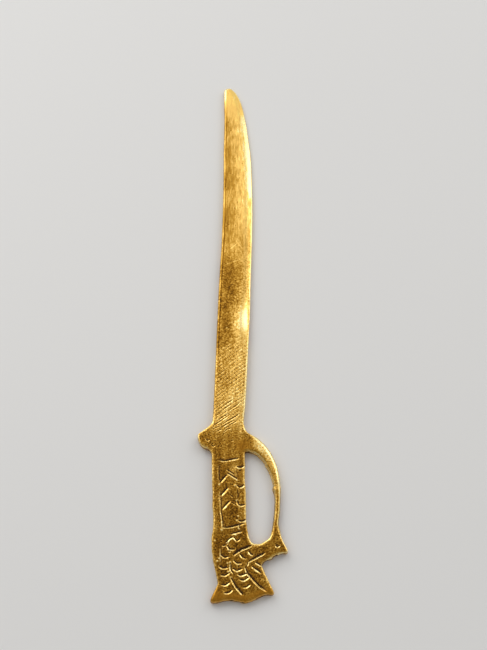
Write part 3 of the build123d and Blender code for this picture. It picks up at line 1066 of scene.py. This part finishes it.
@dataclass
class Casting:
    """The whole opener as one skin.

    Attributes:
        pitch: size of the skin's faces before the worked parts are divided.
        detail_top: below this place the face is divided once more.
        detail_foot: height from which it is.
        relaxes: rounds of smoothing after the skin is made, and after its face is divided.
        edge_width: of the pale rim beside the walls, worn metal with a painted highlight.
        grains: height, size and seed of each layer of the casting's grain.
        ragged: the same for the unevenness of its walls.
        hilt_pits: number of casting pits strewn over the hilt.
        blade_pits: the same for the blade.
        regions: its named regions.
    """

    pitch: float = 0.24
    detail_top: float = -4.0
    detail_foot: float = 1.7
    relaxes: tuple[int, int] = (3, 2)
    edge_width: float = 0.38
    grains: tuple[Grain, ...] = ((0.036, 1.5, 5.0), (0.026, 0.75, 9.0), (0.008, 0.36, 2.0))
    ragged: tuple[Grain, ...] = ((0.07, 2.3, 6.0), (0.05, 0.9, 7.0))
    hilt_pits: int = 1500
    blade_pits: int = 160
    regions: tuple[Region, ...] = field(
        default_factory=lambda: (Blade(), Guard(), Grip(), KnuckleBow(), Pommel())
    )

    def build(self, finish: bpy.types.Material) -> None:
        """Makes, works and divides the casting.

        Args:
            finish: the material of all its regions.
        """
        mesh = self.skin()
        self.work(mesh)
        for region in self.regions:
            region.dress(self.cut_out(mesh, region), finish)
        bpy.data.meshes.remove(mesh)

    def skin(self) -> bpy.types.Mesh:
        """One closed skin of small even faces over all the CAD solids.

        Returns:
            A new mesh, finer where the face is worked.
        """
        joined = bmesh.new()
        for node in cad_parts.values():
            joined.from_mesh(node.data)
        for place, normal in DIVISIONS.all():
            inner = [
                face for face in joined.faces
                if all(abs((vertex.co - place).dot(normal)) < SAME_PLACE for vertex in face.verts)
            ]
            bmesh.ops.delete(joined, geom=inner, context="FACES")
        bmesh.ops.remove_doubles(joined, verts=joined.verts[:], dist=SAME_PLACE)
        raw = bpy.data.meshes.new("raw_casting")
        joined.to_mesh(raw)
        joined.free()
        helper = bpy.data.objects.new("raw_casting", raw)
        bpy.context.scene.collection.objects.link(helper)
        remesh = helper.modifiers.new("skin", "REMESH")
        remesh.mode = "VOXEL"
        remesh.voxel_size = self.pitch * MM
        shown = helper.evaluated_get(bpy.context.evaluated_depsgraph_get())
        mesh = bpy.data.meshes.new_from_object(shown)
        bpy.data.objects.remove(helper)
        bpy.data.meshes.remove(raw)
        self.refine(mesh)
        return mesh

    def refine(self, mesh: bpy.types.Mesh) -> None:
        """Smooths the skin and divides the worked part of the face once more.

        Args:
            mesh: the skin, changed in place.
        """
        skin = bmesh.new()
        skin.from_mesh(mesh)
        self.relax(skin, self.relaxes[0])
        worked = {
            vertex for vertex in skin.verts
            if vertex.co.z > self.detail_foot * MM and vertex.co.y < self.detail_top * MM
        }
        edges = [edge for edge in skin.edges if edge.verts[0] in worked and edge.verts[1] in worked]
        bmesh.ops.subdivide_edges(skin, edges=edges, cuts=1, use_grid_fill=True)
        self.relax(skin, self.relaxes[1], THICKNESS / 2)
        skin.to_mesh(mesh)
        skin.free()
        LOG.info("skin: %d vertices", len(mesh.vertices))

    @staticmethod
    def relax(skin: bmesh.types.BMesh, rounds: int, foot: float = -math.inf) -> None:
        """Moves vertices halfway to the mean of their neighbours.

        Args:
            skin: the skin, changed in place.
            rounds: how often.
            foot: height above which a vertex moves; all do if it isn't given.
        """
        for _ in range(rounds):
            moved = [vertex for vertex in skin.verts if vertex.co.z > foot * MM]
            bmesh.ops.smooth_vert(skin, verts=moved, factor=0.5,
                                  use_axis_x=True, use_axis_y=True, use_axis_z=True)

    def work(self, mesh: bpy.types.Mesh) -> None:
        """Works grain, pits and every region's details into the skin.

        Args:
            mesh: the skin, changed in place.
        """
        skin = Skin(mesh)
        for region in self.regions:
            region.true_up(skin)
        hilt = ease(*HILT, skin.y)
        rim = skin.distance_from(skin.walls(), 3.0)
        # The pale rims beside the walls are worn metal with a painted highlight.
        edge = bell(0.0, self.edge_width, rim) * ease(-0.1, 0.3, skin.normals[:, 2])
        skin.marks["edge"] = edge * (0.2 + 0.8 * hilt)
        skin.marks["patina"] = 0.28 + 0.34 * hilt + 0.1 * skin.grain(7.0, 1.3)
        for region in self.regions:
            region.sculpt(skin)
        coarse = sum(height * skin.grain(size, seed) for height, size, seed in self.grains)
        face = 0.25 + 0.75 * skin.upward
        skin.raise_by(coarse * face * (0.16 + 0.84 * hilt) * (1.0 - 0.85 * skin.marks["smooth"]))
        ragged = sum(height * skin.grain(size, seed) for height, size, seed in self.ragged)
        mouth, base = skin.spot((9.0, -89.0), (5.0, 3.0)), skin.spot((0.0, -102.0), (10.0, 2.0))
        rough = 1.0 + 5.0 * mouth + 3.0 * base
        skin.raise_by(ragged * rough * hilt * (1.0 - np.abs(skin.normals[:, 2])))
        skin.pit(self.pits())
        skin.settle()

    def pits(self) -> list[Pit]:
        """Strews casting pits, close together on the hilt and few on the blade.

        Returns:
            Place across, place along, radius and depth of each pit.
        """
        source = np.random.default_rng(11)
        kinds = (
            (self.hilt_pits, (-15, 15), (-102, -40), (0.22, 0.5), (0.015, 0.055)),
            (self.blade_pits, (-9, 7), (-40, 100), (0.3, 0.6), (0.01, 0.03)),
        )
        return [
            tuple(source.uniform(*span) for span in spans)
            for number, *spans in kinds for _ in range(number)
        ]

    @staticmethod
    def cut_out(mesh: bpy.types.Mesh, region: Region) -> bpy.types.Object:
        """Cuts one region out of the skin and closes its cut faces.

        Args:
            mesh: the whole skin.
            region: the region to keep.

        Returns:
            The region's object, at the origin.
        """
        part = bmesh.new()
        part.from_mesh(mesh)
        for place, normal in region.bounds():
            whole = part.verts[:] + part.edges[:] + part.faces[:]
            cut = bmesh.ops.bisect_plane(part, geom=whole, plane_co=place, plane_no=normal,
                                         clear_outer=True, dist=1e-9)
            rim = [item for item in cut["geom_cut"] if isinstance(item, bmesh.types.BMEdge)]
            caps = bmesh.ops.holes_fill(part, edges=rim, sides=0)["faces"]
            for edge in {edge for cap in caps for edge in cap.edges}:
                edge.smooth = False
        bmesh.ops.recalc_face_normals(part, faces=part.faces[:])
        for face in part.faces:
            face.smooth = True
        own = bpy.data.meshes.new(f"dressed_{region.node}")
        part.to_mesh(own)
        part.free()
        piece = bpy.data.objects.new(f"dressed_{region.node}", own)
        bpy.context.scene.collection.objects.link(piece)
        return piece


class Socket:
    """A shader value with operators, so that sums on it read as sums."""

    def __init__(self, graph: "Graph", output: bpy.types.NodeSocket) -> None:
        """Wraps a node's output.

        Args:
            graph: the graph that it belongs to.
            output: the node's socket.
        """
        self.graph = graph
        self.output = output

    def maths(self, operation: str, *values: "Socket | float") -> "Socket":
        """One Math node on these values."""
        return self.graph.add("ShaderNodeMath", {"operation": operation}, dict(enumerate(values)))

    def __add__(self, other: "Socket | float") -> "Socket":
        """Sum."""
        return self.maths("ADD", self, other)

    def __radd__(self, other: float) -> "Socket":
        """Sum, with the number first."""
        return self.maths("ADD", other, self)

    def __sub__(self, other: "Socket | float") -> "Socket":
        """Difference."""
        return self.maths("SUBTRACT", self, other)

    def __rsub__(self, other: float) -> "Socket":
        """Difference, with the number first."""
        return self.maths("SUBTRACT", other, self)

    def __mul__(self, other: "Socket | float") -> "Socket":
        """Product."""
        return self.maths("MULTIPLY", self, other)

    def __rmul__(self, other: float) -> "Socket":
        """Product, with the number first."""
        return self.maths("MULTIPLY", other, self)

    def step(self, low: float, high: float) -> "Socket":
        """Smooth step from 0 at low to 1 at high."""
        return self.graph.add("ShaderNodeMapRange", {"interpolation_type": "SMOOTHSTEP"},
                              {"Value": self, "From Min": low, "From Max": high}, "Result")


class Graph:
    """The node tree of a material or of the world."""

    def __init__(self, owner: bpy.types.Material | bpy.types.World) -> None:
        """Starts an empty tree.

        Args:
            owner: the material or world to give it to.
        """
        owner.use_nodes = True
        self.tree = owner.node_tree
        self.tree.nodes.clear()

    def add(self, kind: str, settings: dict[str, object], values: dict[str | int, object],
            output: str | int = 0) -> Socket | None:
        """Adds a node.

        Args:
            kind: the node's type.
            settings: its properties, set first.
            values: its sockets' values or links.
            output: which of its outputs to give back.

        Returns:
            That output, or None from a node that has none.
        """
        node = self.tree.nodes.new(kind)
        for name, value in settings.items():
            if name == "stops":
                self.fill_ramp(node.color_ramp, value)
            else:
                setattr(node, name, value)
        for name, value in values.items():
            if isinstance(value, Socket):
                self.tree.links.new(value.output, node.inputs[name])
            else:
                node.inputs[name].default_value = value
        return Socket(self, node.outputs[output]) if node.outputs else None

    @staticmethod
    def fill_ramp(ramp: bpy.types.ColorRamp, stops: Iterable[tuple[float, Colour]]) -> None:
        """Gives a colour ramp its stops.

        Args:
            ramp: the ramp of a new node, which has two stops.
            stops: place and colour of each, in order.
        """
        for number, (place, colour) in enumerate(stops):
            stop = ramp.elements[number] if number < 2 else ramp.elements.new(place)
            stop.position, stop.color = place, colour

    def mix(self, share: Socket, first: "Socket | Colour", second: "Socket | Colour") -> Socket:
        """Blend of two colours, from the first at 0 to the second at 1."""
        return self.add("ShaderNodeMix", {"data_type": "RGBA"}, {0: share, 6: first, 7: second}, 2)

    def noise(self, places: Socket, size: float, detail: float = 2.0, rough: float = 0.5) -> Socket:
        """Noise with bumps of about this size."""
        return self.add("ShaderNodeTexNoise", {}, {"Vector": places, "Scale": 1.0 / size,
                                                   "Detail": detail, "Roughness": rough}, "Fac")

    def mark(self, name: str) -> Socket:
        """A mark that the skin carries."""
        return self.add("ShaderNodeAttribute", {"attribute_name": name}, {}, "Fac")


@dataclass(frozen=True)
class AgedBrass:
    """Cast brass, polished long ago.

    It is golden on the blade, browner on the hilt, dark in the cuts with grime and painted shade, and pale
    on the edges with wear and painted highlights.

    Attributes:
        pale: bright worn metal, and the colour of the painted highlights.
        yellow: metal with its tarnish wiped off, and the painted yellow glow beside the blade's worn
            place.
        gold: untarnished metal.
        olive: dulled metal.
        brown: tarnished metal.
        cut_dirt_and_shade: what is left in the cuts, and the painted shade in them.
        amber: smooth metal that was left as it was cast.
        roughness: of metal rubbed bright.
        tarnish: what full tarnish adds to the roughness.
        dot: size of the hilt's specks.
        streak: width of the blade's streaks.
        patch: width of the duller patches.
        drawn_out: width of a streak or patch as a share of its length.
        relief: height of the finest roughness.
    """

    pale: Colour = (1.0, 0.80, 0.36, 1.0)
    yellow: Colour = (0.94, 0.64, 0.165, 1.0)
    gold: Colour = (0.83, 0.51, 0.13, 1.0)
    olive: Colour = (0.47, 0.246, 0.032, 1.0)
    brown: Colour = (0.24, 0.102, 0.008, 1.0)
    cut_dirt_and_shade: Colour = (0.06, 0.026, 0.006, 1.0)
    amber: Colour = (0.58, 0.25, 0.022, 1.0)
    roughness: float = 0.26
    tarnish: float = 0.26
    dot: float = 0.6
    streak: float = 0.62
    patch: float = 1.9
    drawn_out: float = 0.22
    relief: float = 0.05

    def material(self) -> bpy.types.Material:
        """Makes the material.

        Returns:
            The material, which reads the skin's marks and object coordinates.
        """
        brass = bpy.data.materials.new("aged_brass")
        graph = Graph(brass)
        metres = graph.add("ShaderNodeTexCoord", {}, {}, "Object")
        place = graph.add("ShaderNodeVectorMath", {"operation": "SCALE"}, {0: metres, "Scale": 1 / MM})
        drawn = graph.add("ShaderNodeMapping", {}, {"Vector": place, "Scale": (1.0, self.drawn_out, 1.0)})
        marks = (graph.mark(name) for name in Skin.MARKS)
        groove, bright, edge, hollow, line, patina, polish_and_sheen, amber, smooth = marks
        along = graph.add("ShaderNodeSeparateXYZ", {}, {0: place}, "Y")
        upper, hilt = along.step(5.0, 45.0), 1.0 - along.step(HILT[1], HILT[0])
        dots, streaks = graph.noise(place, self.dot, 2.0, 0.6), graph.noise(drawn, self.streak, 2.0, 0.55)
        patch = graph.noise(drawn, self.patch, 3.0, 0.55) - 0.5
        fleck = (dots + upper * (streaks - dots) - 0.5) * (1.0 - smooth * 0.85) * (1.0 - polish_and_sheen * 0.5)
        # Tone: patina, darker in hollows; the painted dark line by the spine and darker file strokes;
        # grime and painted shade in the cuts; painted highlights, partly wear, on groove walls, rims and
        # bright places.
        tone = (patina + patch * (0.55 - upper * 0.33 + hilt * 0.15)
                + fleck * (1.3 - upper * 0.65 - hilt * 0.1)
                + hollow * (0.35 + hilt * 0.1) + line * 0.34 + groove * 1.0
                - bright * 0.9 - edge * 0.42 - polish_and_sheen * 0.5)
        colour = graph.add("ShaderNodeValToRGB", {"stops": (
            (0.0, self.pale), (0.09, self.yellow), (0.2, self.gold),
            (0.46, self.olive), (0.72, self.brown), (1.0, self.cut_dirt_and_shade),
        )}, {"Fac": tone}, "Color")
        colour = graph.mix(amber * 0.7, colour, self.amber)
        rough = self.roughness + tone * self.tarnish + groove * 0.2
        fine = graph.noise(place, 0.3, 2.0, 0.6)
        relief = fleck * -1.0 + fine * (0.3 - smooth * 0.2)
        bump = graph.add("ShaderNodeBump", {}, {
            "Strength": 0.8, "Distance": self.relief * MM, "Height": relief,
        })
        shader = graph.add("ShaderNodeBsdfPrincipled", {}, {
            "Base Color": colour, "Roughness": rough, "Metallic": 1.0 - groove * 0.5, "Normal": bump,
        })
        graph.add("ShaderNodeOutputMaterial", {}, {"Surface": shader})
        return brass


@dataclass(frozen=True)
class Lamp:
    """A large soft light.

    Attributes:
        name: of the light.
        azimuth: degrees from straight behind the opener, towards the right.
        elevation: degrees above the table.
        distance: metres from the opener.
        size: width and height in metres.
        power: watts.
    """

    name: str
    azimuth: float
    elevation: float
    distance: float
    size: tuple[float, float]
    power: float

    def place(self) -> None:
        """Hangs the light, facing the opener."""
        turn, rise = math.radians(self.azimuth), math.radians(self.elevation)
        away = Vector((math.sin(turn) * math.cos(rise), math.cos(turn) * math.cos(rise), math.sin(rise)))
        light = bpy.data.lights.new(self.name, "AREA")
        light.shape = "RECTANGLE"
        light.size, light.size_y = self.size
        light.energy = self.power
        lamp = bpy.data.objects.new(self.name, light)
        lamp.location = away * self.distance
        lamp.rotation_euler = away.to_track_quat("Z", "Y").to_euler()
        bpy.context.scene.collection.objects.link(lamp)


@dataclass(frozen=True)
class Studio:
    """Floor, lights and camera.

    Attributes:
        floor_size: side of the floor in metres.
        floor_colour: pale.
        floor_drop: of the floor below the opener's back, so that the two don't touch.
        sky: strength of the soft light from the front and from the back.
        sky_turn: degrees from straight behind the opener to the brightest part, towards the right.
        sky_fade: where the light from the front ends and that from the back is full, from -1 to 1.
        lens: of the camera, in millimetres.
        sensor: its longer side, in millimetres.
        elevation: of the camera above the table, in degrees.
        reach: from the camera to its target, in metres.
        target: on the table, in metres.
        lamps: the soft lights.
    """

    floor_size: float = 6.0
    floor_colour: Colour = (0.80, 0.79, 0.77, 1.0)
    floor_drop: float = 0.05
    sky: tuple[float, float] = (0.45, 1.05)
    sky_turn: float = 25.0
    sky_fade: Point = (-0.15, 0.6)
    lens: float = 50.0
    sensor: float = 36.0
    elevation: float = 65.0
    reach: float = 0.3285
    target: tuple[float, float, float] = (0.00063, -0.004576, 0.0)
    lamps: tuple[Lamp, ...] = (
        Lamp("key", -45.0, 46.0, 0.9, (0.8, 0.8), 3.0),
        Lamp("side", 50.0, 38.0, 1.0, (0.45, 0.6), 1.15),
    )

    def build(self) -> None:
        """Sets up floor, world, lights and camera."""
        self.floor()
        self.world()
        for lamp in self.lamps:
            lamp.place()
        self.camera()

    def floor(self) -> None:
        """A plain pale table top, just under the opener."""
        plate = bmesh.new()
        bmesh.ops.create_grid(plate, x_segments=1, y_segments=1, size=self.floor_size / 2)
        mesh = bpy.data.meshes.new("floor")
        plate.to_mesh(mesh)
        plate.free()
        pale = bpy.data.materials.new("pale_floor")
        graph = Graph(pale)
        shader = graph.add("ShaderNodeBsdfPrincipled", {}, {
            "Base Color": self.floor_colour, "Roughness": 0.6,
        })
        graph.add("ShaderNodeOutputMaterial", {}, {"Surface": shader})
        mesh.materials.append(pale)
        floor = bpy.data.objects.new("floor", mesh)
        floor.location.z = -self.floor_drop * MM
        bpy.context.scene.collection.objects.link(floor)

    def world(self) -> None:
        """Soft white light from all round, brighter from the back."""
        world = bpy.data.worlds.new("studio")
        graph = Graph(world)
        heading = graph.add("ShaderNodeTexCoord", {}, {}, "Generated")
        turn = math.radians(self.sky_turn)
        towards = graph.add("ShaderNodeVectorMath", {"operation": "DOT_PRODUCT"},
                            {0: heading, 1: (math.sin(turn), math.cos(turn), 0.0)}, "Value")
        back = towards.step(*self.sky_fade)
        low, high = self.sky
        light = graph.add("ShaderNodeBackground", {}, {"Strength": low + back * (high - low)})
        graph.add("ShaderNodeOutputWorld", {}, {"Surface": light})
        bpy.context.scene.world = world

    def camera(self) -> None:
        """The photograph's view: from the front, high up."""
        data = bpy.data.cameras.new("camera")
        data.lens = self.lens
        data.sensor_width = self.sensor
        data.clip_start = 0.01
        camera = bpy.data.objects.new("camera", data)
        rise = math.radians(self.elevation)
        camera.location = Vector(self.target) + Vector((0, -math.cos(rise), math.sin(rise))) * self.reach
        camera.rotation_euler = (math.pi / 2 - rise, 0.0, 0.0)
        bpy.context.scene.collection.objects.link(camera)
        bpy.context.scene.camera = camera


def main() -> None:
    """Builds the dressed opener and its studio."""
    logging.basicConfig(level=logging.INFO, format="%(name)s: %(message)s")
    Casting().build(AgedBrass().material())
    Studio().build()
    bpy.context.scene.view_settings.view_transform = "Standard"


if __name__ == "__main__":
    main()
